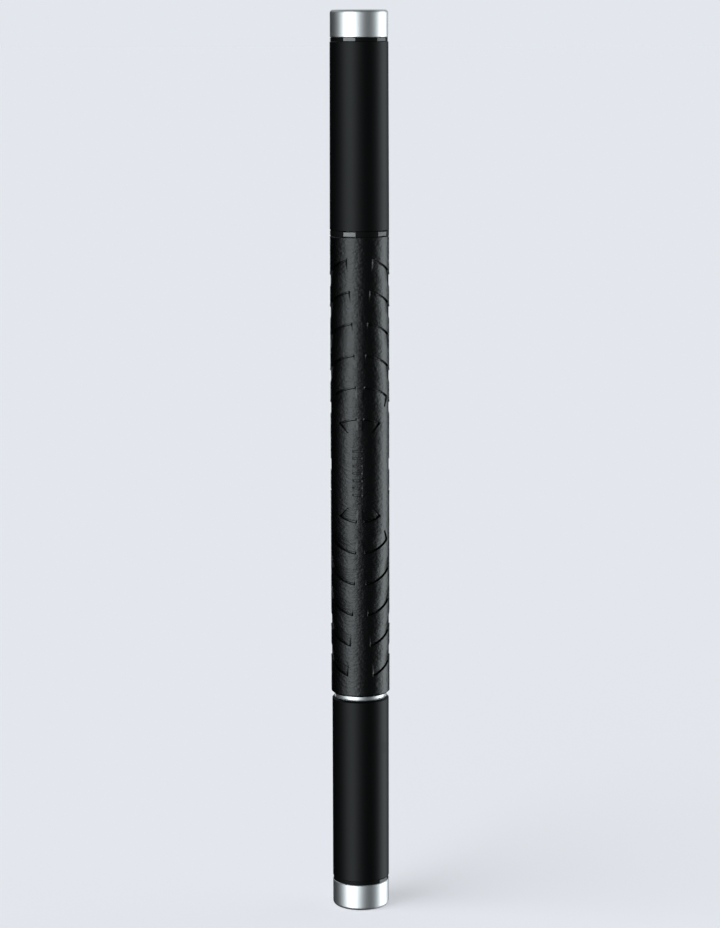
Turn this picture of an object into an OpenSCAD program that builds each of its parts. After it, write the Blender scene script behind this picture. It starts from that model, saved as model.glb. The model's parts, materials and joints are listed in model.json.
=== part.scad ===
// Devil stick: a straight, ballasted centre stick that unscrews into a cap, a tube, the grip, a tube and a cap.
// It stands on its lower cap, with its axis along Z, its base at Z = 0 and the front of the grip towards -Y.

/* [Lengths] */
// Height of each turned end cap
cap_h = 14.4; // [12:0.1:20]
// Height of the lug ring between a cap and its tube
cap_gap = 2.1; // [1.8:0.1:3]
// Length of the lower tube
lower_tube_l = 102; // [80:0.5:130]
// Height of the bright ring in the groove under the grip
joint_ring_h = 2.4; // [2:0.1:3]
// Length of the rubber grip
grip_l = 250; // [246:1:300]
// Height of the flush ring above the grip
mid_ring_h = 3.1; // [2.5:0.1:3.4]
// Length of the upper tube
upper_tube_l = 99.5; // [80:0.5:130]

/* [Diameters] */
// Diameter of the end caps
cap_d = 30.9; // [30:0.1:31]
// Diameter of the lower tube
lower_tube_d = 31; // [31:0.1:32]
// Diameter of the upper tube where it meets the grip
upper_tube_low_d = 31.8; // [31:0.1:32]
// Diameter of the upper tube where it meets its cap
upper_tube_high_d = 31.2; // [31:0.1:32]
// Diameter of the rubber grip over its ribs
grip_d = 32; // [31.5:0.1:34]
// Diameter of the bright ring in the groove
joint_ring_d = 27.4; // [26:0.1:28]
// Outer diameter of the core tube inside the grip
core_d = 25; // [24.5:0.1:25.5]

/* [Walls and edges] */
// Bore diameter of both black tubes
tube_bore_d = 27.8; // [27.4:0.1:28]
// Diameter of the wider seat at each end of the tubes
seat_d = 28.4; // [28.2:0.1:28.6]
// Depth of that seat
seat_l = 16; // [14:0.5:20]
// Wall of the core tube
core_wall = 1.5; // [1.2:0.1:1.6]
// Rounding of the caps' outer rims
cap_fillet = 1.8; // [0.5:0.1:3]
// Small chamfer on turned edges
edge_chamfer = 0.3; // [0.1:0.05:0.5]
// Larger chamfer where tube and grip face the groove
groove_chamfer = 1; // [0.5:0.1:1.2]
// Gap of a bonded or slid-in fit, per side
bond_gap = 0.05; // [0.02:0.01:0.1]

/* [Threads] */
// Clear radius of the cap threads
cap_thread_r = 10; // [9.5:0.1:10.2]
// Clear radius of the section threads
joint_thread_r = 8; // [7.5:0.1:8.2]
// Running clearance between screw and nut, per side
thread_clearance = 0.1; // [0.05:0.01:0.1]
// Rise of the thread in one turn
thread_pitch = 1.5; // [1:0.25:2]
// Depth of the thread
thread_depth = 0.8; // [0.5:0.1:1]
// Width of the thread's crest as a share of the pitch
thread_crest = 0.15; // [0.05:0.05:0.3]
// Width of each flank as a share of the pitch
thread_flank = 0.35; // [0.25:0.05:0.35]
// Length of a cap's spigot
cap_spigot_l = 16; // [15:0.5:18]
// Length of a joiner's spigot
joint_spigot_l = 18; // [17:0.5:20]

/* [Lug rings] */
// Lugs on the upper rings
upper_lugs = 5; // [3:1:6]
// Lugs on the lowest ring
lower_lugs = 2; // [2:1:6]
// Width of a lug as an angle
lug_angle = 24.6; // [15:0.1:30]
// Turn of the first lug on the upper rings, from the front towards +X
upper_lug_turn = 52; // [0:1:72]
// Turn of the first lug on the lowest ring
lower_lug_turn = 55.6; // [0:0.1:180]
// Outer radius of the rubber between the lugs at the caps
cap_rubber_r = 15.2; // [14.2:0.1:15.3]

/* [Ballast] */
// Length of each steel ballast slug
weight_l = 10; // [5:1:20]
// Radius of the ballast slugs
weight_r = 9.4; // [8:0.1:9.6]
// Radius of the ballast screws' thread
screw_r = 2.5; // [2:0.5:3]

/* [Grip tread] */
// Rows of scales from the middle to each end
tread_rows = 6; // [3:1:6]
// Distance of the first row from the middle of the grip
tread_first = 28.4; // [25:0.1:32]
// Distance between rows
tread_pitch = 17.2; // [15:0.1:17.5]
// How far a row has dropped towards the middle at the side of the grip
tread_drop = 10.5; // [6:0.5:12]
// Depth of the step at a row's edge
tread_depth = 0.6; // [0.3:0.1:0.8]
// Width of the groove along a row
tread_groove_w = 1.4; // [1:0.1:2]
// Where the first row starts, as an angle from the front
tread_start = 7.5; // [5:0.5:10]
// How much further round the next row starts
tread_start_step = 1.1; // [0:0.1:2]
// Extra step that builds up with the square of the row number
tread_start_growth = 0.56; // [0:0.02:0.6]
// Where the first row ends
tread_end_first = 45; // [40:1:60]
// Where the second row ends
tread_end_second = 68; // [60:1:75]
// Where all other rows end
tread_end_others = 75; // [70:1:80]

/* [Hidden] */
$fn = 96;

// Levels of the joints, from the base up
lower_tube_z = cap_h + cap_gap;
joint_ring_z = lower_tube_z + lower_tube_l;
grip_z = joint_ring_z + joint_ring_h;
mid_ring_z = grip_z + grip_l;
upper_tube_z = mid_ring_z + mid_ring_h;
top_ring_z = upper_tube_z + upper_tube_l;
top_cap_z = top_ring_z + cap_gap;
stick_l = top_cap_z + cap_h;
grip_mid_z = grip_z + grip_l / 2;

cap_r = cap_d / 2;
grip_r = grip_d / 2;
core_r = core_d / 2;
seat_r = seat_d / 2;
ring_slack = 0.3;              // radial room between a ring and the spigot through it
hub_r = 13.4;                  // outer radius of a lug ring's hub
cap_lug_r = cap_r - 0.05;      // lugs at the caps end just under the caps' surface
mid_lug_r = upper_tube_low_d / 2 - 0.05;
lug_inset = 0.15;              // dark line above and below a lug
mid_lug_inset = 0.45;
lug_side_gap = 0.9;            // angle left free beside each lug

o_ring_section = 1;            // radius of an O-ring's section
o_ring_room = 0.2;             // free height above and below an O-ring in its groove
o_ring_rise = 1.8;             // from the ring below to the O-ring's centre
thread_lead = 1;               // plain lead-in at the tip of a spigot

core_plug_l = 20;
core_flange_h = 2;
core_pin_r = 1.5;
core_pin_rise = 11;            // from a plug's outer face to its pins
core_pin_start = joint_thread_r + 0.6;

washer_h = 1;
washer_r = 5;
screw_head_r = 4.25;
screw_head_h = 5;
screw_engagement = 11;
hex_across = 4;
hex_depth = 2.5;
joiner_recess_r = 10;
joiner_recess_l = 11;

overlap = 1;                   // how far a cutting shape passes the surface it cuts

// ---------- shapes used by more than one piece ----------

// Half section of a threaded spigot that stands on z = 0, with the groove for its O-ring
function spigot_section(r, length, ring_h) =
    let (groove_low = ring_h + o_ring_rise - o_ring_section - o_ring_room,
         groove_high = ring_h + o_ring_rise + o_ring_section + o_ring_room,
         groove_r = r - 2 * o_ring_section - bond_gap,
         thread_start = groove_high + thread_lead,
         turns = floor((length - thread_lead - thread_start) / thread_pitch),
         corners = [0, thread_crest, thread_crest + thread_flank, 1 - thread_flank])
    concat([[0, 0], [r, 0], [r, groove_low], [groove_r, groove_low], [groove_r, groove_high], [r, groove_high]],
           [for (i = [0 : turns - 1], corner = [0 : 3])
               [corner < 2 ? r : r - thread_depth,
                thread_start + (i + corners[corner]) * thread_pitch]],
           [[r, thread_start + turns * thread_pitch], [r - thread_depth, length], [0, length]]);

module threaded_spigot(nut_r, length, ring_h) {
    rotate_extrude() polygon(spigot_section(nut_r - thread_clearance, length, ring_h));
}

module o_ring(nut_r, ring_h) {
    translate([0, 0, ring_h + o_ring_rise])
        rotate_extrude() translate([nut_r - bond_gap - o_ring_section, 0]) circle(r = o_ring_section);
}

// Half section of a cap: rounded outer rim below, small chamfer above
module cap_section() {
    translate([0, cap_fillet]) square([cap_r, cap_h - cap_fillet - edge_chamfer]);
    square([cap_r - cap_fillet, cap_h]);
    translate([cap_r - cap_fillet, cap_fillet]) circle(r = cap_fillet);
    polygon([[0, cap_h - edge_chamfer], [cap_r, cap_h - edge_chamfer], [cap_r - edge_chamfer, cap_h], [0, cap_h]]);
}

// A cap that stands on z = 0 with its spigot upwards and the tapped hole for the ballast screw
module threaded_cap() {
    difference() {
        union() {
            rotate_extrude() cap_section();
            translate([0, 0, cap_h]) threaded_spigot(cap_thread_r, cap_spigot_l, cap_gap);
        }
        translate([0, 0, cap_h + cap_spigot_l - screw_engagement - overlap])
            cylinder(r = screw_r, h = screw_engagement + 2 * overlap);
    }
}

// Everything on a cap's spigot is placed from the spigot's tip
module at_spigot_tip() {
    translate([0, 0, cap_h + cap_spigot_l]) children();
}

module ballast_slug() {
    at_spigot_tip() difference() {
        chamfered_disc(weight_r, weight_l);
        translate([0, 0, -overlap]) cylinder(r = screw_r + ring_slack, h = weight_l + 2 * overlap);
    }
}

module ballast_washer() {
    at_spigot_tip() translate([0, 0, weight_l]) difference() {
        cylinder(r = washer_r, h = washer_h);
        translate([0, 0, -overlap]) cylinder(r = screw_r + ring_slack, h = washer_h + 2 * overlap);
    }
}

module ballast_screw() {
    at_spigot_tip() translate([0, 0, weight_l + washer_h]) difference() {
        union() {
            cylinder(r = screw_head_r, h = screw_head_h);
            translate([0, 0, -weight_l - washer_h - screw_engagement + overlap])
                cylinder(r = screw_r - bond_gap, h = weight_l + washer_h + screw_engagement);
        }
        translate([0, 0, screw_head_h - hex_depth]) linear_extrude(hex_depth + overlap)
            circle(d = hex_across / cos(30), $fn = 6);
    }
}

// A disc on z = 0 with chamfered edges
module chamfered_disc(r, h) {
    rotate_extrude() polygon([[0, 0], [r - edge_chamfer, 0], [r, edge_chamfer], [r, h - edge_chamfer],
                              [r - edge_chamfer, h], [0, h]]);
}

// A tube on z = 0 with a wider seat at each end; the outside may be conical
module black_tube(low_r, high_r, length, low_chamfer) {
    bore_r = tube_bore_d / 2;
    rotate_extrude() polygon([
        [seat_r, 0], [low_r - low_chamfer[0], 0], [low_r, low_chamfer[1]],
        [high_r, length - edge_chamfer], [high_r - edge_chamfer, length], [seat_r, length],
        [seat_r, length - seat_l], [bore_r, length - seat_l], [bore_r, seat_l], [seat_r, seat_l]]);
}

// The insert that is bonded in a tube's seat and takes a cap's spigot
module tube_insert() {
    difference() {
        cylinder(r = seat_r - bond_gap, h = seat_l);
        translate([0, 0, -overlap]) cylinder(r = cap_thread_r, h = seat_l + 2 * overlap);
    }
}

// The joiner: a plug for a tube's seat below z = 0 and the spigot above it
module tube_joiner(ring_h) {
    translate([0, 0, -seat_l]) difference() {
        cylinder(r = seat_r - bond_gap, h = seat_l);
        translate([0, 0, -overlap]) cylinder(r = joiner_recess_r, h = joiner_recess_l + overlap);
    }
    threaded_spigot(joint_thread_r, joint_spigot_l, ring_h);
}

// The plug in the core tube's lower end: a flange on z = 0 and a bored body with two pin holes
module core_plug() {
    difference() {
        union() {
            cylinder(r = core_r, h = core_flange_h);
            cylinder(r = core_r - core_wall - bond_gap, h = core_plug_l);
        }
        translate([0, 0, -overlap]) cylinder(r = joint_thread_r, h = core_plug_l + 2 * overlap);
        pin_pair(core_pin_r, joint_thread_r - overlap, core_r + overlap);
    }
}

// Two opposite radial pins, or the holes for them, above a plug's outer face at z = 0
module pin_pair(r, start, end) {
    for (turn = [0, 180])
        rotate([0, 0, turn]) translate([start, 0, core_pin_rise]) rotate([0, 90, 0]) cylinder(r = r, h = end - start);
}

// Stands its children on the level z, turned over when they belong to the upper end
module at_level(z, turned_over = false) {
    translate([0, 0, z]) mirror([0, 0, turned_over ? 1 : 0]) children();
}

// Turns its children so that an angle of zero is the front and positive angles go towards +X
module from_front(turn) {
    rotate([0, 0, turn - 90]) children();
}

module lug_ring(bore_r, lug_r, height, lugs, first_turn, inset) {
    difference() {
        cylinder(r = hub_r, h = height);
        translate([0, 0, -overlap]) cylinder(r = bore_r, h = height + 2 * overlap);
    }
    for (i = [0 : lugs - 1])
        from_front(first_turn + i * 360 / lugs - lug_angle / 2) rotate_extrude(angle = lug_angle)
            translate([hub_r - overlap, inset]) square([lug_r - hub_r + overlap, height - 2 * inset]);
}

module ring_rubber(outer_r, height, lugs, first_turn) {
    span = 360 / lugs - lug_angle - 2 * lug_side_gap;
    for (i = [0 : lugs - 1])
        from_front(first_turn + i * 360 / lugs + lug_angle / 2 + lug_side_gap) rotate_extrude(angle = span)
            translate([hub_r + bond_gap, 0]) square([outer_r - hub_r - bond_gap, height]);
}

// ---------- tread of the grip ----------

// A row's scales begin beside the smooth spine, further out in the outer rows
function row_start(k) = tread_start + tread_start_step * k + tread_start_growth * k * k;

// The two rows nearest the middle end early, on their way round to the side
function row_end(k) = k == 0 ? tread_end_first : k == 1 ? tread_end_second : tread_end_others;

// The slab between two tilted planes, which a row's groove follows
module row_slab(k) {
    tilt = atan(tread_drop / grip_r);
    translate([0, 0, tread_first + k * tread_pitch - tread_drop])
        rotate([-tilt, 0, 0]) translate([-grip_d, -2 * grip_d, -tread_groove_w])
            cube([2 * grip_d, 4 * grip_d, tread_groove_w]);
}

// The part of the sleeve's skin that a row crosses, on both sides of the spine
module row_sectors(k) {
    span = row_end(k) - row_start(k);
    for (turn = [row_start(k), -row_end(k)])
        from_front(turn) rotate_extrude(angle = span)
            translate([grip_r - tread_depth, tread_first + (k - 1) * tread_pitch])
                square([tread_depth + overlap, 2 * tread_pitch]);
}

module tread_grooves() {
    for (face = [0, 180], half = [0, 1], k = [0 : tread_rows - 1])
        rotate([0, 0, face]) mirror([0, 0, half]) intersection() {
            row_slab(k);
            row_sectors(k);
        }
}

// ---------- lower cap ----------

module bottom_cap() { color("silver") threaded_cap(); }
module bottom_cap_o_ring() { color("black") at_level(cap_h) o_ring(cap_thread_r, cap_gap); }
module bottom_weight() { color("slategray") ballast_slug(); }
module bottom_weight_washer() { color("gainsboro") ballast_washer(); }
module bottom_weight_screw() { color("darkgray") ballast_screw(); }

// ---------- ring above the lower cap ----------

module bottom_lug_ring() {
    color("gray") at_level(cap_h)
        lug_ring(cap_thread_r + ring_slack, cap_lug_r, cap_gap, lower_lugs, lower_lug_turn, lug_inset);
}

module bottom_ring_rubber() {
    color("#1a1a1a") at_level(cap_h) ring_rubber(cap_rubber_r, cap_gap, lower_lugs, lower_lug_turn);
}

// ---------- lower tube ----------

module bottom_insert() { color("silver") at_level(lower_tube_z) tube_insert(); }

module lower_tube() {
    color("#26262a") at_level(joint_ring_z, true)
        black_tube(lower_tube_d / 2, lower_tube_d / 2, lower_tube_l, [groove_chamfer, groove_chamfer]);
}

module lower_joiner() { color("silver") at_level(joint_ring_z) tube_joiner(joint_ring_h); }
module lower_joint_o_ring() { color("black") at_level(joint_ring_z) o_ring(joint_thread_r, joint_ring_h); }

module joint_ring() {
    color("silver") at_level(joint_ring_z) difference() {
        chamfered_disc(joint_ring_d / 2, joint_ring_h);
        translate([0, 0, -overlap]) cylinder(r = joint_thread_r + ring_slack, h = joint_ring_h + 2 * overlap);
    }
}

// ---------- grip ----------

module lower_core_plug() { color("lightgray") at_level(grip_z) core_plug(); }
module upper_core_plug() { color("lightgray") at_level(mid_ring_z, true) core_plug(); }

module core_tube() {
    color("lightsteelblue") difference() {
        at_level(grip_z + core_flange_h) cylinder(r = core_r, h = grip_l - 2 * core_flange_h);
        at_level(grip_z) cylinder(r = core_r - core_wall, h = grip_l);
        at_level(grip_z) pin_pair(core_pin_r, joint_thread_r, core_r + overlap);
        at_level(mid_ring_z, true) pin_pair(core_pin_r, joint_thread_r, core_r + overlap);
    }
}

module core_pins() {
    color("dimgray") {
        at_level(grip_z) pin_pair(core_pin_r - bond_gap, core_pin_start, core_r);
        at_level(mid_ring_z, true) pin_pair(core_pin_r - bond_gap, core_pin_start, core_r);
    }
}

module grip_sleeve() {
    inner_r = core_r + bond_gap;
    color("#141414") at_level(grip_mid_z) difference() {
        rotate_extrude() polygon([
            [inner_r, -grip_l / 2], [grip_r - groove_chamfer, -grip_l / 2],
            [grip_r, groove_chamfer - grip_l / 2], [grip_r, grip_l / 2 - edge_chamfer],
            [grip_r - edge_chamfer, grip_l / 2], [inner_r, grip_l / 2]]);
        tread_grooves();
    }
}

// ---------- ring above the grip ----------

module mid_lug_ring() {
    color("gray") at_level(mid_ring_z)
        lug_ring(joint_thread_r + ring_slack, mid_lug_r, mid_ring_h, upper_lugs, upper_lug_turn, mid_lug_inset);
}

module mid_ring_rubber() {
    color("#1a1a1a") at_level(mid_ring_z) ring_rubber(mid_lug_r, mid_ring_h, upper_lugs, upper_lug_turn);
}

// ---------- upper tube ----------

module upper_joiner() { color("silver") at_level(upper_tube_z, true) tube_joiner(mid_ring_h); }
module upper_joint_o_ring() { color("black") at_level(upper_tube_z, true) o_ring(joint_thread_r, mid_ring_h); }

module upper_tube() {
    color("#26262a") at_level(upper_tube_z)
        black_tube(upper_tube_low_d / 2, upper_tube_high_d / 2, upper_tube_l, [edge_chamfer, edge_chamfer]);
}

module top_insert() { color("silver") at_level(top_ring_z, true) tube_insert(); }

// ---------- ring under the upper cap ----------

module top_lug_ring() {
    color("gray") at_level(top_ring_z)
        lug_ring(cap_thread_r + ring_slack, cap_lug_r, cap_gap, upper_lugs, upper_lug_turn, lug_inset);
}

module top_ring_rubber() {
    color("#1a1a1a") at_level(top_ring_z) ring_rubber(cap_rubber_r, cap_gap, upper_lugs, upper_lug_turn);
}

// ---------- upper cap ----------

module top_cap() { color("silver") at_level(stick_l, true) threaded_cap(); }
module top_cap_o_ring() { color("black") at_level(top_cap_z, true) o_ring(cap_thread_r, cap_gap); }
module top_weight() { color("slategray") at_level(stick_l, true) ballast_slug(); }
module top_weight_washer() { color("gainsboro") at_level(stick_l, true) ballast_washer(); }
module top_weight_screw() { color("darkgray") at_level(stick_l, true) ballast_screw(); }

bottom_cap();
bottom_cap_o_ring();
bottom_weight();
bottom_weight_washer();
bottom_weight_screw();
bottom_lug_ring();
bottom_ring_rubber();
bottom_insert();
lower_tube();
lower_joiner();
lower_joint_o_ring();
joint_ring();
lower_core_plug();
core_tube();
core_pins();
grip_sleeve();
upper_core_plug();
mid_lug_ring();
mid_ring_rubber();
upper_joiner();
upper_joint_o_ring();
upper_tube();
top_insert();
top_lug_ring();
top_ring_rubber();
top_cap();
top_cap_o_ring();
top_weight();
top_weight_washer();
top_weight_screw();
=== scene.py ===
# %% [markdown]
# # A take-apart devil stick
# The stick is the middle one of a juggler's set: two smooth black tubes screwed to a long rubber grip, with a
# turned metal cap at each end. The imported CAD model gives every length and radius. This script adds what a
# plain CAD solid lacks: the moulded tread, real screw threads, soft edges and finishes.
# Everything round here is drawn as half an outline and swept round the Z axis, just as a lathe makes it.

# %% Load the frame
import json
import math

import bmesh
import bpy
from mathutils import Matrix, Vector


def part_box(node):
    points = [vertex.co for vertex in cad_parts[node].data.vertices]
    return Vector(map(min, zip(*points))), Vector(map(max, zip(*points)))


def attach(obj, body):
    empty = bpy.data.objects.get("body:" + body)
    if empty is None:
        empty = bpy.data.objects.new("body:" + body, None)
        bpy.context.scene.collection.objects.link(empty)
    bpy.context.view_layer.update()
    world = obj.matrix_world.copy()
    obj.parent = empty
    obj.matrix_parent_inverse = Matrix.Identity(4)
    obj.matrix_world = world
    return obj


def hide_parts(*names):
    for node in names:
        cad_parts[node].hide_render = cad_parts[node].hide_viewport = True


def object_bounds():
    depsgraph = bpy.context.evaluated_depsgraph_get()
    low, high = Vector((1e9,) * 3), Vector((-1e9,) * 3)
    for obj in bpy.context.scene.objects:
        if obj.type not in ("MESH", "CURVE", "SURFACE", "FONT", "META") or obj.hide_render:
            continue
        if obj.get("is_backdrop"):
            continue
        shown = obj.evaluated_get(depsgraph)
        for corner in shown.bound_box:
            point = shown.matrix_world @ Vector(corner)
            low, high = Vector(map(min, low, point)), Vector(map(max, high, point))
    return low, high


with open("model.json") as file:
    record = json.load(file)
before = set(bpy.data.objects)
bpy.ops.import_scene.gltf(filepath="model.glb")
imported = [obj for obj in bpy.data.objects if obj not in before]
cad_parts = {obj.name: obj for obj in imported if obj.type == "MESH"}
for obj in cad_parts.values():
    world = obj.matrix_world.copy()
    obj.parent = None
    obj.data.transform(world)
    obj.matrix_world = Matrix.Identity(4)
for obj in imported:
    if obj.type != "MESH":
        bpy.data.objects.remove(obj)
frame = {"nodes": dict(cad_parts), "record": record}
cad_low, cad_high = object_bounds()
mm = 0.001

# %% [markdown]
# ## Camera
# A product shot of something this thin is taken with a long lens from a little above, so that the sides stay
# nearly parallel. The lens and the height are set first, because every later choice is judged through them.

# %% Camera
LENS = 104.74
EYE_HEIGHT = 0.4821
EYE_DISTANCE = 1.4447
LOOK_DOWN = math.radians(9.24)
ROLL = math.radians(-0.14)

camera_data = bpy.data.cameras.new("camera")
camera_data.lens = LENS
camera_data.sensor_width = 36.0
camera = bpy.data.objects.new("camera", camera_data)
camera.matrix_world = (
    Matrix.Translation((0.0, -EYE_DISTANCE, EYE_HEIGHT))
    @ Matrix.Rotation(math.radians(90) - LOOK_DOWN, 4, "X")
    @ Matrix.Rotation(ROLL, 4, "Z")
)
bpy.context.scene.collection.objects.link(camera)
bpy.context.scene.camera = camera
bpy.context.scene.view_settings.view_transform = "Standard"
print("camera at", [round(v, 3) for v in camera.matrix_world.translation])

# %% [markdown]
# ## Two small helpers for node trees
# Long formulas are hard to read as node wiring. `Field` wraps a socket so that `a * 2 + b` in the script adds
# the Math nodes that work it out. The same helper serves geometry trees and shader trees, because both have
# the Math node.

# %% Node helpers
def plug(tree, term, socket):
    """Links a Field or a socket to an input, or sets the input to a plain value."""
    term = term.value if isinstance(term, Field) else term
    if isinstance(term, bpy.types.NodeSocket):
        tree.links.new(term, socket)
    else:
        socket.default_value = term


class Field:
    """A number that a node tree works out at every point."""

    def __init__(self, tree, value):
        self.tree = tree
        self.value = value

    def math(self, operation, *others):
        node = self.tree.nodes.new("ShaderNodeMath")
        node.operation = operation
        for socket, term in zip(node.inputs, (self, *others)):
            plug(self.tree, term, socket)
        return Field(self.tree, node.outputs[0])

    def __add__(self, other):
        return self.math("ADD", other)

    def __sub__(self, other):
        return self.math("SUBTRACT", other)

    def __mul__(self, other):
        return self.math("MULTIPLY", other)

    def __truediv__(self, other):
        return self.math("DIVIDE", other)

    __radd__ = __add__
    __rmul__ = __mul__

    def __rsub__(self, other):
        return Field(self.tree, other).math("SUBTRACT", self)

    def __rtruediv__(self, other):
        return Field(self.tree, other).math("DIVIDE", self)

    def ramp(self, low, high):
        """0 below low, 1 above high, and a smooth rise between them."""
        node = self.tree.nodes.new("ShaderNodeMapRange")
        node.interpolation_type = "SMOOTHSTEP"
        for name, term in (("Value", self), ("From Min", low), ("From Max", high)):
            plug(self.tree, term, node.inputs[name])
        return Field(self.tree, node.outputs["Result"])


SOCKET_KINDS = {float: "NodeSocketFloat", int: "NodeSocketInt", str: "NodeSocketMaterial"}


def new_tree(kind, name, inputs, outputs):
    """A node group, with inputs given as {name: default} and outputs given as {name: socket type}."""
    tree = bpy.data.node_groups.new(name, kind)
    if kind == "GeometryNodeTree":
        tree.interface.new_socket("Geometry", in_out="INPUT", socket_type="NodeSocketGeometry")
    for label, default in inputs.items():
        socket = tree.interface.new_socket(label, in_out="INPUT", socket_type=SOCKET_KINDS[type(default)])
        if not isinstance(default, str):
            socket.default_value = default
    for label, socket_type in outputs.items():
        tree.interface.new_socket(label, in_out="OUTPUT", socket_type=socket_type)
    given = tree.nodes.new("NodeGroupInput")
    result = tree.nodes.new("NodeGroupOutput")
    return tree, given.outputs, result.inputs


def add_node(tree, kind, **terms):
    """Adds a node and plugs its inputs, named with _ for a space."""
    node = tree.nodes.new(kind)
    for label, term in terms.items():
        plug(tree, term, node.inputs[label.replace("_", " ")])
    return node


# %% [markdown]
# ## Shared surface effects
# Three effects appear on more than one finish. **Turned lines** are the fine rings that a lathe tool leaves,
# round the sides and in circles on the end faces, so they follow height plus radius. **Moulded grain** is the
# fine tooth of rubber and plastic from a blasted mould. **Handling marks** are the cloudy patches where hands
# have left the surface a little duller. Each is a group that puts out one value, and each material mixes that
# value in with its own strength.

# %% Shader group: turned lines
def point_parts(tree):
    """The object coordinates of the shaded point, as a vector socket and three Fields."""
    vector = tree.nodes.new("ShaderNodeTexCoord").outputs["Object"]
    parts = add_node(tree, "ShaderNodeSeparateXYZ", Vector=vector)
    return vector, [Field(tree, parts.outputs[axis]) for axis in "XYZ"]


turned_lines, given, result = new_tree(
    "ShaderNodeTree", "turned_lines", {"Lines per Metre": 4000.0}, {"Lines": "NodeSocketFloat"}
)
_, (x, y, z) = point_parts(turned_lines)
radius = (x * x + y * y).math("SQRT")
lines = add_node(turned_lines, "ShaderNodeTexNoise")
lines.noise_dimensions = "1D"
plug(turned_lines, (z + radius) * given["Lines per Metre"], lines.inputs["W"])
lines.inputs["Scale"].default_value = 1.0
lines.inputs["Detail"].default_value = 3.0
plug(turned_lines, lines.outputs["Fac"], result["Lines"])
print("group:", turned_lines.name)

# %% Shader group: moulded grain
moulded_grain, given, result = new_tree(
    "ShaderNodeTree", "moulded_grain", {"Grain Size": 0.0004, "Stretch": 1.0}, {"Grain": "NodeSocketFloat"}
)
_, (x, y, z) = point_parts(moulded_grain)
size = Field(moulded_grain, given["Grain Size"])
stretch = Field(moulded_grain, given["Stretch"])
spread_out = add_node(
    moulded_grain, "ShaderNodeCombineXYZ", X=x / (size * stretch), Y=y / (size * stretch), Z=z / size
)
grain = add_node(
    moulded_grain, "ShaderNodeTexNoise", Vector=spread_out.outputs[0], Scale=1.0, Detail=2.0, Roughness=0.6
)
plug(moulded_grain, grain.outputs["Fac"], result["Grain"])
print("group:", moulded_grain.name)

# %% Shader group: handling marks
handling_marks, given, result = new_tree(
    "ShaderNodeTree", "handling_marks", {"Patch Size": 0.02, "Cover": 0.5}, {"Marks": "NodeSocketFloat"}
)
vector, _ = point_parts(handling_marks)
patches = add_node(
    handling_marks,
    "ShaderNodeTexNoise",
    Vector=vector,
    Scale=1.0 / Field(handling_marks, given["Patch Size"]),
    Detail=4.0,
    Roughness=0.62,
)
cover = Field(handling_marks, given["Cover"])
marks = Field(handling_marks, patches.outputs["Fac"]).ramp(0.85 - cover * 0.5, 1.05 - cover * 0.5)
plug(handling_marks, marks, result["Marks"])
print("group:", handling_marks.name)

# %% [markdown]
# ## Finishes
# A finish is a Principled shader whose roughness is disturbed by the handling marks and whose normal is
# disturbed by one of the two textures. Keeping those two wires in one function means that each finish below
# is only its own numbers, which is how a maker would describe it: colour, metal or not, how dull, which tool.

# %% Make a finish
def use_group(tree, group, **values):
    node = tree.nodes.new("ShaderNodeGroup")
    node.node_tree = group
    for label, value in values.items():
        plug(tree, value, node.inputs[label.replace("_", " ")])
    return node.outputs[0]


def finish(name, colour, metallic, roughness, mark_depth, texture, texture_values, bump_height, fixed=None):
    """A material: marks change its roughness by mark_depth, and a texture group gives it relief in metres."""
    material = bpy.data.materials.new(name)
    material.use_nodes = True
    tree = material.node_tree
    shader = tree.nodes["Principled BSDF"]
    shader.inputs["Base Color"].default_value = (*colour, 1.0)
    shader.inputs["Metallic"].default_value = metallic
    for label, value in (fixed or {}).items():
        shader.inputs[label].default_value = value
    marks = Field(tree, use_group(tree, handling_marks, Patch_Size=0.016, Cover=0.55))
    relief = Field(tree, use_group(tree, texture, **texture_values))
    plug(tree, marks * mark_depth + relief * (mark_depth * 0.5) + roughness, shader.inputs["Roughness"])
    bump = add_node(tree, "ShaderNodeBump", Strength=1.0, Distance=bump_height, Height=relief)
    plug(tree, bump.outputs["Normal"], shader.inputs["Normal"])
    return material


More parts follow.
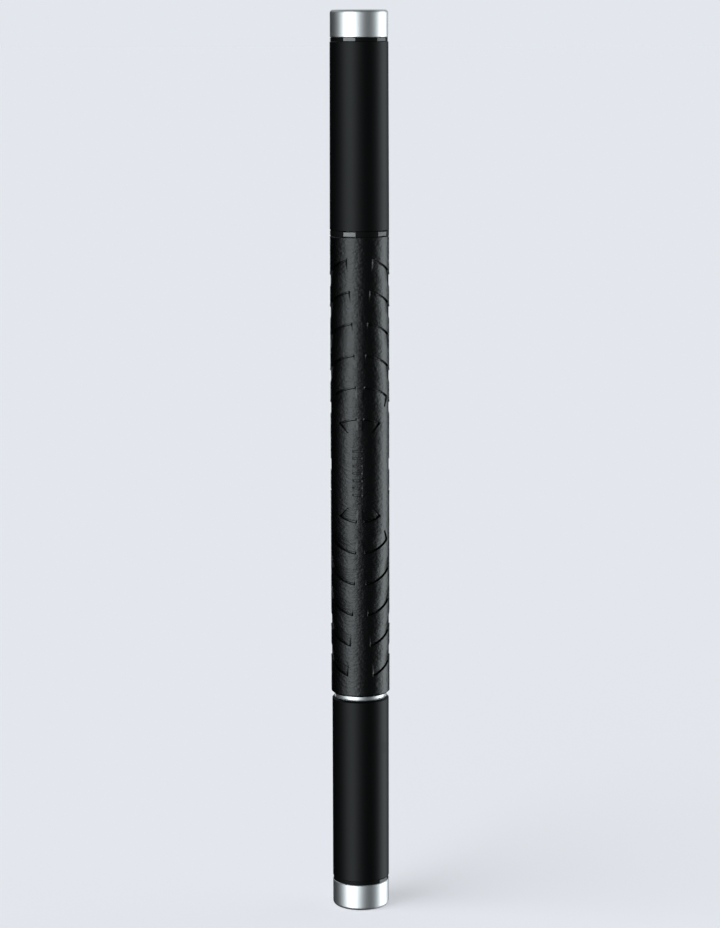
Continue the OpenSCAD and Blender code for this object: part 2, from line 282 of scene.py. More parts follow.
FINISHES = {
    "polished_aluminium": finish(
        "polished_aluminium",
        colour=(0.83, 0.83, 0.84),
        metallic=1.0,
        roughness=0.42,
        mark_depth=0.06,
        texture=turned_lines,
        texture_values={"Lines_per_Metre": 5000.0},
        bump_height=4e-6,
    ),
    "machined_aluminium": finish(
        "machined_aluminium",
        colour=(0.70, 0.71, 0.73),
        metallic=1.0,
        roughness=0.30,
        mark_depth=0.10,
        texture=turned_lines,
        texture_values={"Lines_per_Metre": 3000.0},
        bump_height=2e-5,
    ),
    "ballast_steel": finish(
        "ballast_steel",
        colour=(0.42, 0.43, 0.45),
        metallic=1.0,
        roughness=0.34,
        mark_depth=0.12,
        texture=turned_lines,
        texture_values={"Lines_per_Metre": 2500.0},
        bump_height=3e-5,
    ),
    "screw_steel": finish(
        "screw_steel",
        colour=(0.50, 0.50, 0.52),
        metallic=1.0,
        roughness=0.28,
        mark_depth=0.10,
        texture=turned_lines,
        texture_values={"Lines_per_Metre": 5000.0},
        bump_height=1e-5,
    ),
    "black_anodised": finish(
        "black_anodised",
        colour=(0.0012, 0.0013, 0.0014),
        metallic=0.0,
        roughness=0.41,
        mark_depth=0.05,
        texture=turned_lines,
        texture_values={"Lines_per_Metre": 6000.0},
        bump_height=1e-6,
        fixed={"Specular IOR Level": 0.185},
    ),
    "grip_rubber": finish(
        "grip_rubber",
        colour=(0.0012, 0.0013, 0.0014),
        metallic=0.0,
        roughness=0.05,
        mark_depth=0.08,
        texture=moulded_grain,
        texture_values={"Grain_Size": 0.0012, "Stretch": 2.0},
        bump_height=3e-4,
        fixed={"Specular IOR Level": 0.4},
    ),
    "ring_rubber": finish(
        "ring_rubber",
        colour=(0.0015, 0.0015, 0.0015),
        metallic=0.0,
        roughness=0.50,
        mark_depth=0.10,
        texture=moulded_grain,
        texture_values={"Grain_Size": 0.0003},
        bump_height=1e-5,
        fixed={"Specular IOR Level": 0.15},
    ),
    "seal_rubber": finish(
        "seal_rubber",
        colour=(0.004, 0.004, 0.004),
        metallic=0.0,
        roughness=0.30,
        mark_depth=0.10,
        texture=moulded_grain,
        texture_values={"Grain_Size": 0.0005},
        bump_height=4e-6,
    ),
    "lug_plastic": finish(
        "lug_plastic",
        colour=(0.20, 0.20, 0.20),
        metallic=0.0,
        roughness=0.55,
        mark_depth=0.10,
        texture=moulded_grain,
        texture_values={"Grain_Size": 0.0003},
        bump_height=8e-6,
    ),
}
print("finishes:", ", ".join(FINISHES))

# %% [markdown]
# ## A lathe in code
# `lathe` sweeps a half outline of (radius, height) points round the Z axis. An outline that starts and ends
# on the axis makes a solid with closed poles; one that never touches it makes a ring or a tube. With less
# than a full turn it makes a curved block, closed at both ends. Angles start at the front of the stick and
# grow towards its right, so the same numbers can be read off the object.

# %% Lathe
COLUMNS = 160


def lathe(name, outline, columns=COLUMNS, start=0.0, sweep=2 * math.pi):
    whole = sweep > 2 * math.pi - 1e-6
    angles = [start + sweep * i / columns for i in range(columns + (0 if whole else 1))]
    shape = bmesh.new()
    rings = []
    for radius, height in outline:
        if radius < 1e-9:
            rings.append([shape.verts.new((0.0, 0.0, height))] * len(angles))
        else:
            points = ((radius * math.sin(a), -radius * math.cos(a), height) for a in angles)
            rings.append([shape.verts.new(point) for point in points])
    on_axis = outline[0][0] < 1e-9
    for low, high in zip(rings, rings[1:] if on_axis else rings[1:] + rings[:1]):
        for i in range(columns):
            j = (i + 1) % len(angles)
            corners = list(dict.fromkeys((low[i], low[j], high[j], high[i])))
            if len(corners) > 2:
                shape.faces.new(corners)
    if not whole:
        shape.faces.new([ring[0] for ring in rings])
        shape.faces.new([ring[-1] for ring in rings])
    return as_object(name, shape)


def as_object(name, shape):
    """Ends a bmesh: normals outwards, and a new object at the origin that holds it."""
    bmesh.ops.recalc_face_normals(shape, faces=shape.faces)
    mesh = bpy.data.meshes.new(name)
    shape.to_mesh(mesh)
    shape.free()
    piece = bpy.data.objects.new(name, mesh)
    bpy.context.scene.collection.objects.link(piece)
    return piece


def joined(name, *parts):
    """One new object from several closed shells that belong to the same piece."""
    shape = bmesh.new()
    for part in parts:
        shape.from_mesh(part.data)
        bpy.data.objects.remove(part)
    mesh = bpy.data.meshes.new(name)
    shape.to_mesh(mesh)
    shape.free()
    piece = bpy.data.objects.new(name, mesh)
    bpy.context.scene.collection.objects.link(piece)
    return piece


SHARP = math.radians(32)


def fit(piece, body, node, slot):
    """Gives a finished piece its finish and its body, and hides the CAD node that it stands for."""
    mesh = piece.data
    mesh.materials.clear()
    mesh.materials.append(FINISHES[slot])
    mesh.shade_smooth()
    mesh.set_sharp_from_angle(angle=SHARP)
    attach(piece, body)
    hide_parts(node)
    print(piece.name, "->", body, len(mesh.polygons), "faces")


# %% [markdown]
# ## Geometry tree: a screw thread
# A thread is one ridge wound up a helix. A Spiral curve with equal radii is that helix, and Curve to Mesh
# carries a four-cornered profile along it; the inner corner sinks into the shank, so ridge and shank look
# like one piece. Z Up normals keep the profile level all the way round. All four threads here are
# right-handed.

# %% Thread tree
def bake(piece, tree, **values):
    """Runs a geometry tree on a piece, then keeps only the plain mesh that it made."""
    modifier = piece.modifiers.new(tree.name, "NODES")
    modifier.node_group = tree
    for item in tree.interface.items_tree:
        label = item.name.replace(" ", "_")
        if item.in_out == "INPUT" and label in values:
            modifier[item.identifier] = values[label]
    evaluated = piece.evaluated_get(bpy.context.evaluated_depsgraph_get())
    mesh = bpy.data.meshes.new_from_object(evaluated)
    piece.modifiers.clear()
    piece.data = mesh
    return piece


def end_tree(tree, geometry, given, result):
    """Every tree ends the same way: real geometry, with its material."""
    real = add_node(tree, "GeometryNodeRealizeInstances", Geometry=geometry)
    dressed = add_node(tree, "GeometryNodeSetMaterial", Geometry=real.outputs[0], Material=given["Material"])
    plug(tree, dressed.outputs[0], result["Geometry"])


thread_tree, given, result = new_tree(
    "GeometryNodeTree",
    "screw_thread",
    {"Crest Radius": 0.0099, "Depth": 0.0008, "Pitch": 0.0015, "Turns": 5.0, "Start": 0.0, "Material": ""},
    {"Geometry": "NodeSocketGeometry"},
)
depth = Field(thread_tree, given["Depth"])
pitch = Field(thread_tree, given["Pitch"])
middle_radius = Field(thread_tree, given["Crest Radius"]) - depth
helix = add_node(
    thread_tree,
    "GeometryNodeCurveSpiral",
    Resolution=64,
    Rotations=given["Turns"],
    Start_Radius=middle_radius,
    End_Radius=middle_radius,
    Height=pitch * given["Turns"],
)
lift = add_node(thread_tree, "ShaderNodeCombineXYZ", Z=given["Start"])
placed = add_node(
    thread_tree, "GeometryNodeTransform", Geometry=helix.outputs[0], Translation=lift.outputs[0]
)
level = add_node(thread_tree, "GeometryNodeSetCurveNormal", Curve=placed.outputs[0])
level.mode = "Z_UP"
diamond = add_node(thread_tree, "GeometryNodeCurvePrimitiveCircle", Resolution=4, Radius=1.0)
HALF_RIDGE = 0.47
squash = add_node(thread_tree, "ShaderNodeCombineXYZ", X=depth, Y=pitch * HALF_RIDGE, Z=1.0)
ridge = add_node(thread_tree, "GeometryNodeTransform", Geometry=diamond.outputs[0], Scale=squash.outputs[0])
wound = add_node(
    thread_tree,
    "GeometryNodeCurveToMesh",
    Curve=level.outputs[0],
    Profile_Curve=ridge.outputs[0],
    Fill_Caps=True,
)
end_tree(thread_tree, wound.outputs[0], given, result)
print("tree:", thread_tree.name, len(thread_tree.nodes), "nodes")

# %% [markdown]
# ## Threaded spigots
# Each cap and each joiner ends in a spigot: a plain neck that the ring slides on, a groove for the O-ring,
# the thread, and a chamfered tip. The O-ring's own box says where the groove is, so the groove can't drift
# from the ring that lies in it. `up` is 1 for a spigot that points up and -1 for one that points down.

# %% Spigot
THREAD_PITCH = 1.5 * mm
THREAD_DEPTH = 0.8 * mm
THREAD_LEAD = 1.2 * mm
TIP_CHAMFER = 0.3 * mm
GROOVE_ROOM = 0.2 * mm
CLEARANCE = 0.05 * mm


def half_width(node):
    low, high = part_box(node)
    return (high.x - low.x) / 2


def spigot_outline(shoulder, tip, o_ring):
    """Half outline from the shoulder to the tip, and the radius of the thread's crest."""
    up = 1 if tip > shoulder else -1
    ring_low, ring_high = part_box(o_ring)
    near, far = (ring_low.z, ring_high.z) if up > 0 else (ring_high.z, ring_low.z)
    crest = half_width(o_ring) - CLEARANCE
    groove = half_width(o_ring) - (ring_high.z - ring_low.z) - CLEARANCE
    root = crest - THREAD_DEPTH
    return [
        (crest, shoulder),
        (crest, near - up * GROOVE_ROOM),
        (groove, near - up * GROOVE_ROOM),
        (groove, far + up * GROOVE_ROOM),
        (crest, far + up * GROOVE_ROOM),
        (crest, far + up * THREAD_LEAD * 0.6),
        (root, far + up * THREAD_LEAD),
        (root, tip - up * TIP_CHAMFER),
        (root - TIP_CHAMFER, tip),
        (0.0, tip),
    ], crest


def wind_thread(name, shoulder, tip, o_ring, crest):
    """The ridge of the thread, between the O-ring's groove and the tip."""
    up = 1 if tip > shoulder else -1
    ring_low, ring_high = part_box(o_ring)
    first = (ring_high.z if up > 0 else ring_low.z) + up * 1.6 * THREAD_LEAD
    turns = abs(tip - first) / THREAD_PITCH - 0.6
    start = first if up > 0 else first - turns * THREAD_PITCH
    blank = lathe(name, [(0.0, 0.0), (mm, 0.0), (0.0, mm)], 8)
    return bake(
        blank,
        thread_tree,
        Crest_Radius=crest,
        Depth=THREAD_DEPTH,
        Pitch=THREAD_PITCH,
        Turns=turns,
        Start=start,
        Material=FINISHES["machined_aluminium"],
    )


# %% [markdown]
# ## End caps
# The caps are turned from aluminium bar: a flat face with the small mark of the lathe's centre, a rounded
# rim, a straight side and a fine chamfer where the ring begins. The rim is an arc worked out by a loop,
# because a reflection shows every corner of a rim that is only a few straight steps.

# %% Caps
CAP_EDGE = 1.8 * mm
CAP_EDGE_STEPS = 12
CHAMFER = 0.3 * mm
CENTRE_MARK = 0.9 * mm


def cap_outline(face, shoulder, radius):
    up = 1 if shoulder > face else -1
    turns = [math.pi / 2 * i / CAP_EDGE_STEPS for i in range(CAP_EDGE_STEPS + 1)]
    centre = radius - CAP_EDGE
    edge = [(centre + CAP_EDGE * math.sin(a), face + up * CAP_EDGE * (1 - math.cos(a))) for a in turns]
    mark = [(0.0, face + up * CENTRE_MARK * 0.7), (CENTRE_MARK, face)]
    return mark + edge + [(radius, shoulder - up * CHAMFER), (radius - CHAMFER, shoulder)]


def make_cap(name, node, face, shoulder, tip, o_ring):
    neck, crest = spigot_outline(shoulder, tip, o_ring)
    body = lathe(name + "_body", cap_outline(face, shoulder, half_width(node)) + neck)
    thread = wind_thread(name + "_thread", shoulder, tip, o_ring, crest)
    fit(joined(name, body, thread), node, node, "polished_aluminium")


bottom_low, bottom_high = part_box("bottom_cap")
top_low, top_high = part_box("top_cap")
bottom_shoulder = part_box("bottom_lug_ring")[0].z
top_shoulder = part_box("top_lug_ring")[1].z
make_cap("turned_bottom_cap", "bottom_cap", bottom_low.z, bottom_shoulder, bottom_high.z, "bottom_cap_o_ring")
make_cap("turned_top_cap", "top_cap", top_high.z, top_shoulder, top_low.z, "top_cap_o_ring")

# %% [markdown]
# ## Tubes
# A drawn tube is only an outside, an inside and two ends, but its ends tell the eye that it is a tube and not
# a rod. So the seat that takes the insert, the step at its end and the outer chamfers are all in the outline.
# The upper tube is a little slimmer towards its cap.

# %% Tubes
SEAT_DEPTH = 16 * mm
SEAT_RADIUS = 14.2 * mm
BORE_RADIUS = 13.9 * mm


def make_tube(name, body, node, taper, high_chamfer):
    low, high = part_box(node)
    low_radius = half_width(node)
    high_radius = low_radius - taper
    outline = [
        (SEAT_RADIUS, low.z),
        (low_radius - CHAMFER, low.z),
        (low_radius, low.z + CHAMFER),
        (high_radius, high.z - high_chamfer),
        (high_radius - high_chamfer, high.z),
        (SEAT_RADIUS, high.z),
        (SEAT_RADIUS, high.z - SEAT_DEPTH),
        (BORE_RADIUS, high.z - SEAT_DEPTH),
        (BORE_RADIUS, low.z + SEAT_DEPTH),
        (SEAT_RADIUS, low.z + SEAT_DEPTH),
    ]
    fit(lathe(name, outline), body, node, "black_anodised")


TAPER = 0.3 * mm
GROOVE_CHAMFER = 1.0 * mm
make_tube("drawn_lower_tube", "lower_section", "lower_tube", 0.0, GROOVE_CHAMFER)
make_tube("drawn_upper_tube", "upper_section", "upper_tube", TAPER, CHAMFER)

# %% [markdown]
# ## Joiners and the bright ring
# A joiner is bonded in a tube's seat and shows only when the stick is unscrewed: then its neck and thread
# come into view. The bright ring sits in the groove under the grip and is the accent of the whole stick, so
# it gets a softly broken edge that catches a line of light.

# %% Joiners
RECESS_RADIUS = 10 * mm
RECESS_DEPTH = 11 * mm
PLUG_LENGTH = 16 * mm
PLUG_RADIUS = SEAT_RADIUS - CLEARANCE


def make_joiner(name, body, node, shoulder, up, o_ring):
    low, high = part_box(node)
    tip = high.z if up > 0 else low.z
    back = shoulder - up * PLUG_LENGTH
    neck, crest = spigot_outline(shoulder, tip, o_ring)
    outline = [
        (0.0, back + up * RECESS_DEPTH),
        (RECESS_RADIUS, back + up * RECESS_DEPTH),
        (RECESS_RADIUS, back),
        (PLUG_RADIUS, back),
        (PLUG_RADIUS, shoulder),
    ] + neck
    thread = wind_thread(name + "_thread", shoulder, tip, o_ring, crest)
    fit(joined(name, lathe(name + "_body", outline), thread), body, node, "machined_aluminium")


joint_ring_low, joint_ring_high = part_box("joint_ring")
upper_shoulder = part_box("mid_lug_ring")[1].z
lower_shoulder = joint_ring_low.z
make_joiner("threaded_lower_joiner", "lower_section", "lower_joiner", lower_shoulder, 1, "lower_joint_o_ring")
make_joiner(
    "threaded_upper_joiner", "upper_section", "upper_joiner", upper_shoulder, -1, "upper_joint_o_ring"
)

# %% Bright ring
RING_BORE = 8.3 * mm
RING_EDGE = 0.35 * mm
RING_EDGE_STEPS = 5


def soft_edged(inner, outer, low, high, edge):
    """Half outline of a ring whose two outer edges are rounded by arcs."""
    arc = [math.pi / 2 * i / RING_EDGE_STEPS for i in range(RING_EDGE_STEPS + 1)]
    lower = [(outer - edge + edge * math.sin(a), low + edge - edge * math.cos(a)) for a in arc]
    upper = [(outer - edge + edge * math.cos(a), high - edge + edge * math.sin(a)) for a in arc]
    return [(inner, low)] + lower + upper + [(inner, high)]


bright_radius = half_width("joint_ring")
ring_outline = soft_edged(RING_BORE, bright_radius, joint_ring_low.z, joint_ring_high.z, RING_EDGE)
fit(lathe("bright_joint_ring", ring_outline), "joint_ring", "joint_ring", "polished_aluminium")

# %% [markdown]
# ## Geometry tree: segments round a ring
# The three lug rings are the same idea: a hub with lugs spaced evenly round it, and a rubber segment between
# each pair. One segment is made on the lathe with a part turn, and this tree repeats it. It places points at
# the axis and turns each copy by its index, so a change of count keeps the spacing even.

# %% Segment tree
segment_tree, given, result = new_tree(
    "GeometryNodeTree", "round_the_ring", {"Count": 5, "Material": ""}, {"Geometry": "NodeSocketGeometry"}
)
axis_points = add_node(segment_tree, "GeometryNodePoints", Count=given["Count"])
index = Field(segment_tree, segment_tree.nodes.new("GeometryNodeInputIndex").outputs[0])
turn = add_node(segment_tree, "ShaderNodeCombineXYZ", Z=index * (2 * math.pi) / given["Count"])
copies = add_node(
    segment_tree,
    "GeometryNodeInstanceOnPoints",
    Points=axis_points.outputs[0],
    Instance=given["Geometry"],
    Rotation=turn.outputs[0],
)
end_tree(segment_tree, copies.outputs[0], given, result)
print("tree:", segment_tree.name)

# %% [markdown]
# ## Lug rings and their rubber
# The lugs are moulded in grey and reach the outside of the stick, where they show as small pads. Beside each
# one a fine gap is left, and above and below it a shadow line. At the caps the rubber between the lugs sits
# back from the surface; above the grip it is flush.

# %% Lug rings
LUG_ANGLE = math.radians(24.6)
SIDE_GAP = math.radians(0.9)
HUB_RADIUS = 13.4 * mm
CAP_RING_BORE = 10.3 * mm
RUBBER_AT_CAPS = 15.2 * mm
LUG_EDGE = 0.12 * mm
LUG_ROOT = 0.5 * mm
CAP_RING_INSET = 0.15 * mm
MID_RING_INSET = 0.45 * mm
UPPER_LUGS = 5
LOWER_LUGS = 2


def make_lug_ring(name, body, node, bore, reach, inset, count, first_turn):
    low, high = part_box(node)
    hub_outline = [(bore, low.z), (HUB_RADIUS, low.z), (HUB_RADIUS, high.z), (bore, high.z)]
    hub = lathe(name + "_hub", hub_outline)
    lug_outline = soft_edged(HUB_RADIUS - LUG_ROOT, reach, low.z + inset, high.z - inset, LUG_EDGE)
    lug = lathe(name + "_lug", lug_outline, 16, first_turn - LUG_ANGLE / 2, LUG_ANGLE)
    lugs = bake(lug, segment_tree, Count=count, Material=FINISHES["lug_plastic"])
    fit(joined(name, hub, lugs), body, node, "lug_plastic")


def make_ring_rubber(name, body, node, reach, count, first_turn):
    low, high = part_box(node)
    span = 2 * math.pi / count - LUG_ANGLE - 2 * SIDE_GAP
    outline = soft_edged(HUB_RADIUS + CLEARANCE, reach, low.z, high.z, LUG_EDGE)
    block = lathe(name, outline, 32, first_turn + LUG_ANGLE / 2 + SIDE_GAP, span)
    fit(bake(block, segment_tree, Count=count, Material=FINISHES["ring_rubber"]), body, node, "ring_rubber")


UPPER_TURN = math.radians(52)
LOWER_TURN = math.radians(55.6)
cap_reach = half_width("bottom_cap") - CLEARANCE
mid_reach = half_width("upper_tube") - CLEARANCE
for place, bore, reach, inset, count, first_turn in (
    ("bottom", CAP_RING_BORE, cap_reach, CAP_RING_INSET, LOWER_LUGS, LOWER_TURN),
    ("mid", RING_BORE, mid_reach, MID_RING_INSET, UPPER_LUGS, UPPER_TURN),
    ("top", CAP_RING_BORE, cap_reach, CAP_RING_INSET, UPPER_LUGS, UPPER_TURN),
):
    body, node = place + "_ring", place + "_lug_ring"
    make_lug_ring("moulded_" + body, body, node, bore, reach, inset, count, first_turn)
for place, reach, count, first_turn in (
    ("bottom", RUBBER_AT_CAPS, LOWER_LUGS, LOWER_TURN),
    ("mid", mid_reach, UPPER_LUGS, UPPER_TURN),
    ("top", RUBBER_AT_CAPS, UPPER_LUGS, UPPER_TURN),
):
    body, node = place + "_ring", place + "_ring_rubber"
    make_ring_rubber(place + "_rubber_segments", body, node, reach, count, first_turn)

# %% [markdown]
# ## The rubber grip
# The tread is a field of scales: each is a shallow ramp that ends in a step. Every row follows an arc that
# drops towards the middle of the grip on its way round to the side, and the upper and lower halves mirror
# each other, so that a hand sliding either way meets the steps. Modelling each scale by hand would never
# line up. Here the sleeve is swept with its rings placed exactly at the steps, and a geometry tree then
# bends those rings into arcs and presses the scales in by a formula.

# %% Grip measures
ROWS = 6
FIRST_ROW = 28.4 * mm
ROW_PITCH = 17.2 * mm
SCALE_LENGTH = 7.7 * mm
STEP = 0.2 * mm
RAMP_SHARES = (0.0, 0.09, 0.145, 0.28, 0.46, 0.64, 0.8, 0.87, 0.95, 1.03)
PLAIN_SHARES = (0.12, 0.25, 0.42, 0.6, 0.8)
END_SHARES = (0.2, 0.4, 0.6, 0.8)
LEAST_GAP = 0.06 * mm
FADE = 4.5 * mm
BAR_PITCH = 4.0 * mm
BAR_HEIGHT = 1.0 * mm
BARS = 7
SLEEVE_COLUMNS = 360
MID_NOTCHES = ((2.0 * mm, 7.0 * mm), (-20.0 * mm, 4.4 * mm))

grip_low, grip_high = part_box("grip_sleeve")
grip_radius = half_width("grip_sleeve")
core_radius = half_width("core_tube") + CLEARANCE
grip_middle = (grip_low.z + grip_high.z) / 2
half_grip = (grip_high.z - grip_low.z) / 2
print("grip:", round(grip_radius / mm, 2), "mm radius,", round(2 * half_grip / mm, 1), "mm long")


# %% Grip rings
def ring_heights():
    """Heights of the sleeve's rings from its middle, close together only where the shape turns."""
    heights = set()
    for row in range(ROWS):
        line = FIRST_ROW + row * ROW_PITCH
        ramp = [line - SCALE_LENGTH * share for share in RAMP_SHARES]
        plain = [line - SCALE_LENGTH - (ROW_PITCH - SCALE_LENGTH) * share for share in PLAIN_SHARES]
        heights.update(ramp + plain + [line + STEP])
    last = FIRST_ROW + (ROWS - 1) * ROW_PITCH
    heights.update(last + (half_grip - GROOVE_CHAMFER - last) * share for share in END_SHARES)
    both = {h for height in heights for h in (height, -height)}
    for middle, tall in MID_NOTCHES:
        edges = (middle - tall / 2, middle + tall / 2)
        both.update(h for edge in edges for h in (edge, edge + STEP, edge - STEP))
    for bar in range(BARS):
        base = (bar - BARS / 2) * BAR_PITCH
        both.update((base, base + STEP, base + BAR_HEIGHT, base + BAR_HEIGHT + STEP))
    return thinned(sorted(both))


def thinned(heights):
    """Leaves out a height that lies almost on the one before it."""
    kept = heights[:1]
    for height in heights[1:]:
        if height - kept[-1] > LEAST_GAP:
            kept.append(height)
    return kept


rows = ring_heights()
sleeve_outline = [
    (core_radius, grip_low.z),
    (grip_radius - GROOVE_CHAMFER, grip_low.z),
    (grip_radius, grip_low.z + GROOVE_CHAMFER),
    *((grip_radius, grip_middle + height) for height in rows),
    (grip_radius, grip_high.z - CHAMFER),
    (grip_radius - CHAMFER, grip_high.z),
    (core_radius, grip_high.z),
]
sleeve = lathe("treaded_grip", sleeve_outline, SLEEVE_COLUMNS)
print("rings on the sleeve:", len(rows))

# %% [markdown]
# The formula works on the flattened surface. `height` is measured from the middle of the grip and `column`
# is the angle from the nearer of front and back, so one rule serves all four quarters. A row's number comes
# from the height by rounding up, and the distance below that row's line gives the depth of the ramp. The
# scales start further from the spine in the outer rows, and the two rows nearest the middle end early in a
# slanted edge. So that no edge cuts across the mesh, the columns nearest to the start and the end of a
# scale are moved sideways onto them, the columns between share out the room, and the shift fades out
# between two rows.

# %% Tread tree
tread_tree, given, result = new_tree(
    "GeometryNodeTree",
    "scale_tread",
    {
        "Middle": 0.2459,
        "Radius": 0.016,
        "Half Length": 0.125,
        "Rows": 6,
        "First Row": 0.0284,
        "Row Pitch": 0.0172,
        "Scale Length": 0.0077,
        "Side Drop": 0.0105,
        "Step Depth": 0.0007,
        "Channel Depth": 0.0006,
        "Material": "",
    },
    {"Geometry": "NodeSocketGeometry"},
)
place = tread_tree.nodes.new("GeometryNodeInputPosition").outputs[0]
parts = add_node(tread_tree, "ShaderNodeSeparateXYZ", Vector=place)
x, y, z = (Field(tread_tree, parts.outputs[axis]) for axis in "XYZ")
measures = [label for label in given.keys() if label not in ("Geometry", "Material")]
number = {label: Field(tread_tree, given[label]) for label in measures}
DEGREE = math.pi / 180
HAIR = 0.01 * mm

height = z - number["Middle"]
distance = height.math("ABSOLUTE")
column = x.math("ABSOLUTE").math("ARCTAN2", y.math("ABSOLUTE")) / DEGREE
row = ((distance - number["First Row"] - HAIR) / number["Row Pitch"]).math("CEIL").math("MAXIMUM", 0.0)
line = number["First Row"] + row * number["Row Pitch"]
below = line - distance
along = below.math("MINIMUM", number["Scale Length"]) / mm
in_rows = row.math("LESS_THAN", number["Rows"] - 0.5)

# %% Columns that follow the scales
PAST_LINE = 0.3 * mm
above = number["Row Pitch"] - below
behind = above.math("LESS_THAN", FADE) * row.math("GREATER_THAN", 0.5)
near = (1.0 - below.ramp(number["Scale Length"], number["Scale Length"] + FADE)) * in_rows
weight = near + (1.0 - above.ramp(PAST_LINE, FADE) - near) * behind
band = row - behind
reach = along * (1.0 - behind)

# All these edges are angles in degrees, and `band` is the row's number, so each line says how an edge moves
# outwards from row to row. A slant is in degrees for each millimetre below the row's line.
FIRST_INNER, INNER_STEP, INNER_GROWTH, INNER_SLANT = 7.5, 1.1, 0.56, 0.45
FIRST_OUTER, OUTER_STEP, OUTER_LIMIT = 45.0, 23.0, 75.0
FIRST_SLANT, SLANT_LOSS = 2.7, 1.2
FIRST_COLUMN, COLUMN_STEP, COLUMN_LEAD = 36.0, 27.0, 1.7
inner_edge = FIRST_INNER + band * INNER_STEP + band * band * INNER_GROWTH
outer_edge = (FIRST_OUTER + band * OUTER_STEP).math("MINIMUM", OUTER_LIMIT)
scale_start = inner_edge - reach * INNER_SLANT
scale_end = outer_edge - (FIRST_SLANT - band * SLANT_LOSS).math("MAXIMUM", 0.0) * reach
start_column = (inner_edge - COLUMN_LEAD).math("ROUND")
end_column = (FIRST_COLUMN + band * COLUMN_STEP).math("MINIMUM", OUTER_LIMIT)
room = end_column - start_column
past_start = (column - start_column).math("MAXIMUM", 0.0).math("MINIMUM", room)
past_end = (column - end_column).math("MAXIMUM", 0.0)
followed = (
    column.math("MINIMUM", start_column) * (scale_start / start_column)
    + past_start * ((scale_end - scale_start) / room)
    + past_end * ((90.0 - scale_end) / (90.0 - end_column))
)
angle = (column + (followed - column) * weight) * DEGREE

# %% Scales on the front and back, and the channel at their feet and outer ends
outward = past_start / room
from_start = column - start_column
from_end = column - end_column
across = from_start.ramp(-2.0, 2.0) * (1.0 - from_end.ramp(-1.0, 0.0))
ramp_depth = (1.0 - below / number["Scale Length"]).math("MAXIMUM", 0.0)
INNER_SHARE = 0.65
FOOT_WIDTH, FOOT_END = 0.7 * mm, 1.1 * mm
TURN_END, TURN_FADED = 6.6 * mm, 7.3 * mm
scales = ramp_depth * across * (INNER_SHARE + outward * (1.0 - INNER_SHARE)) * in_rows
foot = 1.0 - below.ramp(FOOT_WIDTH, FOOT_END)
at_end = from_end.ramp(-4.0, -3.0) * (1.0 - below.ramp(TURN_END, TURN_FADED))
channels = across * foot.math("MAXIMUM", at_end) * in_rows

# %% Notches down the sides
SIDE_STRIP = 77 * DEGREE
EDGE = 0.6 * DEGREE
NOTCH_DEPTH = 1.45
on_side = angle.ramp(SIDE_STRIP - EDGE, SIDE_STRIP + EDGE)
outer_rows = row.math("GREATER_THAN", 3.5)
inner_rows = row.math("GREATER_THAN", 0.5) * row.math("LESS_THAN", 2.5) * height.math("GREATER_THAN", 0.0)
flat_notch = below.math("LESS_THAN", number["Scale Length"]) * (outer_rows + inner_rows) * in_rows
for notch_middle, notch_tall in MID_NOTCHES:
    off_middle = (height - notch_middle).math("ABSOLUTE")
    flat_notch = flat_notch + off_middle.math("LESS_THAN", notch_tall / 2 + 0.5 * STEP)
notches = flat_notch * on_side * NOTCH_DEPTH

# %% Index bars in the plain middle, and the finished tree
BAR_ANGLE = 9.0 * DEGREE
BAR_TURN = -5.0 * DEGREE
BAR_DEPTH = 0.3
front_angle = x.math("ARCTAN2", y * -1.0)
bar_phase = ((height + BARS * BAR_PITCH / 2) / BAR_PITCH).math("FRACT") * BAR_PITCH
past_bar = bar_phase.math("LESS_THAN", BAR_HEIGHT + 0.5 * STEP)
bar_rows = (bar_phase - 0.5 * STEP).math("GREATER_THAN", 0.0) * past_bar
bar_band = distance.math("LESS_THAN", BARS * BAR_PITCH / 2)
off_turn = (front_angle - BAR_TURN).math("ABSOLUTE")
bars = bar_rows * bar_band * (1.0 - off_turn.ramp(BAR_ANGLE - EDGE, BAR_ANGLE + EDGE)) * BAR_DEPTH

STRAIGHT_AGAIN = 0.4 * mm
STRAIGHT_END = 1.4 * mm
relief = (scales + notches + bars) * number["Step Depth"] + channels * number["Channel Depth"]
last_row = number["First Row"] + (number["Rows"] - 1.0) * number["Row Pitch"]
unbent = distance.ramp(last_row + STRAIGHT_AGAIN, number["Half Length"] - STRAIGHT_END)
bend = distance.ramp(0.0, number["First Row"]) * (1.0 - unbent)
drop = number["Side Drop"] * (1.0 - angle.math("COSINE")) * bend * height.math("SIGN")
radius = (x * x + y * y).math("SQRT")
sunk = radius - relief
moved = add_node(
    tread_tree,
    "ShaderNodeCombineXYZ",
    X=sunk * angle.math("SINE") * x.math("SIGN"),
    Y=sunk * angle.math("COSINE") * y.math("SIGN"),
    Z=z - drop,
)
on_outside = radius.math("GREATER_THAN", number["Radius"] - HAIR)
pressed = add_node(
    tread_tree,
    "GeometryNodeSetPosition",
    Geometry=given["Geometry"],
    Selection=on_outside,
    Position=moved.outputs[0],
)
end_tree(tread_tree, pressed.outputs[0], given, result)
print("tree:", tread_tree.name, len(tread_tree.nodes), "nodes")

# %% Press the tread
bake(
    sleeve,
    tread_tree,
    Middle=grip_middle,
    Radius=grip_radius,
    Half_Length=half_grip,
    Rows=ROWS,
    First_Row=FIRST_ROW,
    Row_Pitch=ROW_PITCH,
    Scale_Length=SCALE_LENGTH,
    Side_Drop=10.5 * mm,
    Step_Depth=0.7 * mm,
    Channel_Depth=0.6 * mm,
    Material=FINISHES["grip_rubber"],
)
fit(sleeve, "grip_section", "grip_sleeve", "grip_rubber")

# %% [markdown]
# ## Parts that keep their CAD shape
# Inserts, plugs, pins, O-rings, weights and screws are already the right shape, and most are never seen. They
# only need their finishes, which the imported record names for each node.

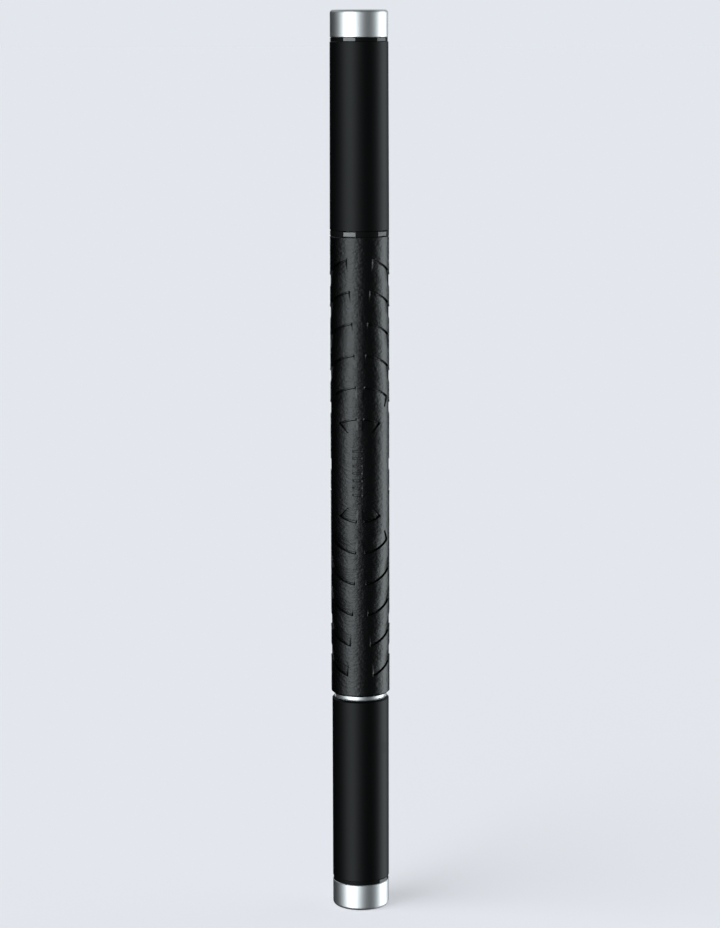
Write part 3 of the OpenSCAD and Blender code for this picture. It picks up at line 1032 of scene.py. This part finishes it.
# %% Finishes for the other nodes
for subpart in frame["record"]["subparts"]:
    node = frame["nodes"][subpart["node"]]
    node.data.materials.clear()
    node.data.materials.append(FINISHES[subpart["material_slot"]])
print("dressed", len(frame["nodes"]), "nodes")

# %% [markdown]
# ## Floor and light
# A black surface is lit by what it mirrors. The studio is therefore drawn in the world itself, as two tall
# panels with feathered edges: one at the front left, one at the right edge, a little behind. Each draws a
# soft vertical band on the stick, and the dark between them makes the roundness read. A third panel behind,
# and a dim sky above it, shape the stick for whoever looks from the back or from above. `azimuth` is
# measured like the angles above: 0 at the front, positive to the right. The camera sees a plain pale colour
# instead.

# %% Surroundings
PALE = (0.768, 0.799, 0.847)
KEY = 3.5
EDGE_LIGHT = 3.0
FILL = 0.076
DARK = 0.004
BACK = 1.5
SKY = 0.45
OVERHEAD = 0.2
PANEL_COLOUR = (0.91, 1.0, 1.03)

world = bpy.data.worlds.new("studio")
bpy.context.scene.world = world
world.use_nodes = True
sky = world.node_tree
looking = sky.nodes.new("ShaderNodeTexCoord").outputs["Generated"]
direction = add_node(sky, "ShaderNodeSeparateXYZ", Vector=looking)
x, y, z = (Field(sky, direction.outputs[axis]) for axis in "XYZ")
azimuth = x.math("ARCTAN2", y * -1.0)


def feathered(centre, spread):
    """A panel that is brightest at one azimuth and fades away on both sides, with angles in degrees."""
    off = (azimuth - centre * DEGREE) / (spread * DEGREE)
    return (off * off * -0.5).math("EXPONENT")


key = feathered(-36.5, 19.5)
edge_light = feathered(105, 17.5)
fill = 1.0 - azimuth.math("ABSOLUTE").ramp(60 * DEGREE, 125 * DEGREE)
back = y.ramp(0.92, 1.0)
sky_behind = y.ramp(0.0, 0.5) * z.ramp(0.2, 0.5)
overhead = z.ramp(0.86, 0.98)
key_height = 1.0 - z.math("ABSOLUTE").ramp(0.1, 0.94)
panel_height = 1.0 - (z + 0.12).math("ABSOLUTE").ramp(0.15, 0.85)
front_light = key * KEY * key_height + (edge_light * EDGE_LIGHT + fill * FILL) * panel_height
radiance = front_light + back * BACK + sky_behind * SKY + overhead * OVERHEAD + DARK

light_path = sky.nodes.new("ShaderNodeLightPath")
studio = sky.nodes["Background"]
plug(sky, radiance, studio.inputs["Strength"])
backdrop = add_node(sky, "ShaderNodeBackground", Color=(*PALE, 1.0))
chosen = sky.nodes.new("ShaderNodeMixShader")
plug(sky, light_path.outputs["Is Camera Ray"], chosen.inputs["Fac"])
sky.links.new(studio.outputs[0], chosen.inputs[1])
sky.links.new(backdrop.outputs[0], chosen.inputs[2])
sky.links.new(chosen.outputs[0], sky.nodes["World Output"].inputs["Surface"])
studio.inputs["Color"].default_value = (*PANEL_COLOUR, 1.0)
print("studio:", len(sky.nodes), "world nodes")

# %% [markdown]
# The floor is a wide pale sheet. Part of its brightness is its own glow, so that it stays as even as a paper
# sweep, and the rest is lit, so that it can take the soft shadow of a large lamp at the front left. It is
# hidden from reflections, or it would wash out the lower half of every black surface.

# %% Floor and lamp
FLOOR_ALBEDO = 0.6
FLOOR_GLOW = 0.53
GLOW_COLOUR = (0.801, 0.799, 0.837)

floor_shape = bmesh.new()
bmesh.ops.create_grid(floor_shape, x_segments=1, y_segments=1, size=60.0)
floor = as_object("floor", floor_shape)
floor_finish = bpy.data.materials.new("pale_floor")
floor_finish.use_nodes = True
floor_shader = floor_finish.node_tree.nodes["Principled BSDF"]
for label, value in {
    "Base Color": (*(FLOOR_ALBEDO * channel for channel in PALE), 1.0),
    "Roughness": 1.0,
    "Specular IOR Level": 0.0,
    "Emission Color": (*GLOW_COLOUR, 1.0),
    "Emission Strength": FLOOR_GLOW,
}.items():
    floor_shader.inputs[label].default_value = value
floor.data.materials.append(floor_finish)
floor.visible_glossy = False
floor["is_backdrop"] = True

lamp_data = bpy.data.lights.new("soft_lamp", "SUN")
lamp_data.energy = 1.5
lamp_data.angle = math.radians(40)
lamp = bpy.data.objects.new("soft_lamp", lamp_data)
lamp.matrix_world = Vector((0.6, 0.3, -1.0)).to_track_quat("-Z", "Y").to_matrix().to_4x4()
lamp.visible_glossy = False
bpy.context.scene.collection.objects.link(lamp)

# %% Sizes, and the end
low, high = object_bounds()
for label, span in (("visual box", high - low), ("CAD box", cad_high - cad_low)):
    print(label, [round(measure / mm, 2) for measure in span])
